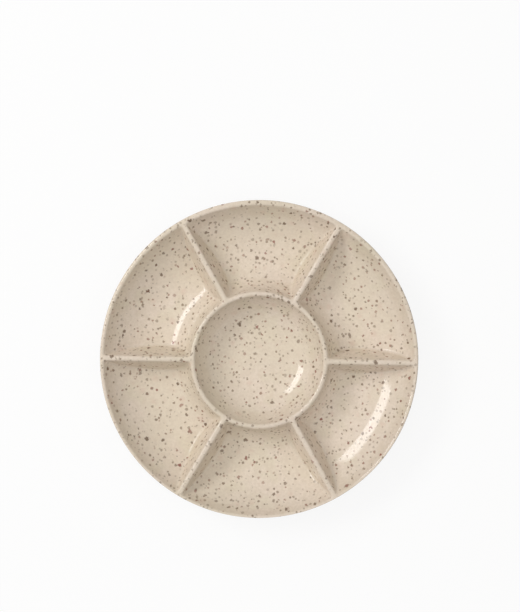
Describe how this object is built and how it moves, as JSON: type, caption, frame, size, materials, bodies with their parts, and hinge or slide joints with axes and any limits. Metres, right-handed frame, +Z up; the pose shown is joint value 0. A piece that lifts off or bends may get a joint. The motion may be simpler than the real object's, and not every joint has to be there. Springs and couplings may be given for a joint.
{
  "type": "divided serving bowl",
  "caption": "Round speckled stoneware serving bowl with a small centre bowl and a ring of sector-shaped compartments separated by radial dividers.",
  "frame": {"origin": "on the bowl's axis, at the height of the face of the foot ring that it stands on", "axes": "+Z up along the bowl's axis; +X along one of the dividers; +Y between two dividers, along the middle of a compartment"},
  "size_m": [0.3, 0.3, 0.038],
  "materials": {
    "glaze": "glossy",
    "bare_clay": "matte"
  },
  "bodies": {
    "root": {"centre_bowl": "glaze", "compartment_1": "glaze", "compartment_2": "glaze", "compartment_3": "glaze", "compartment_4": "glaze", "compartment_5": "glaze", "compartment_6": "glaze", "divider_1": "glaze", "divider_2": "glaze", "divider_3": "glaze", "divider_4": "glaze", "divider_5": "glaze", "divider_6": "glaze", "rim": "glaze", "foot_ring": "bare_clay"}
  },
  "joints": []
}
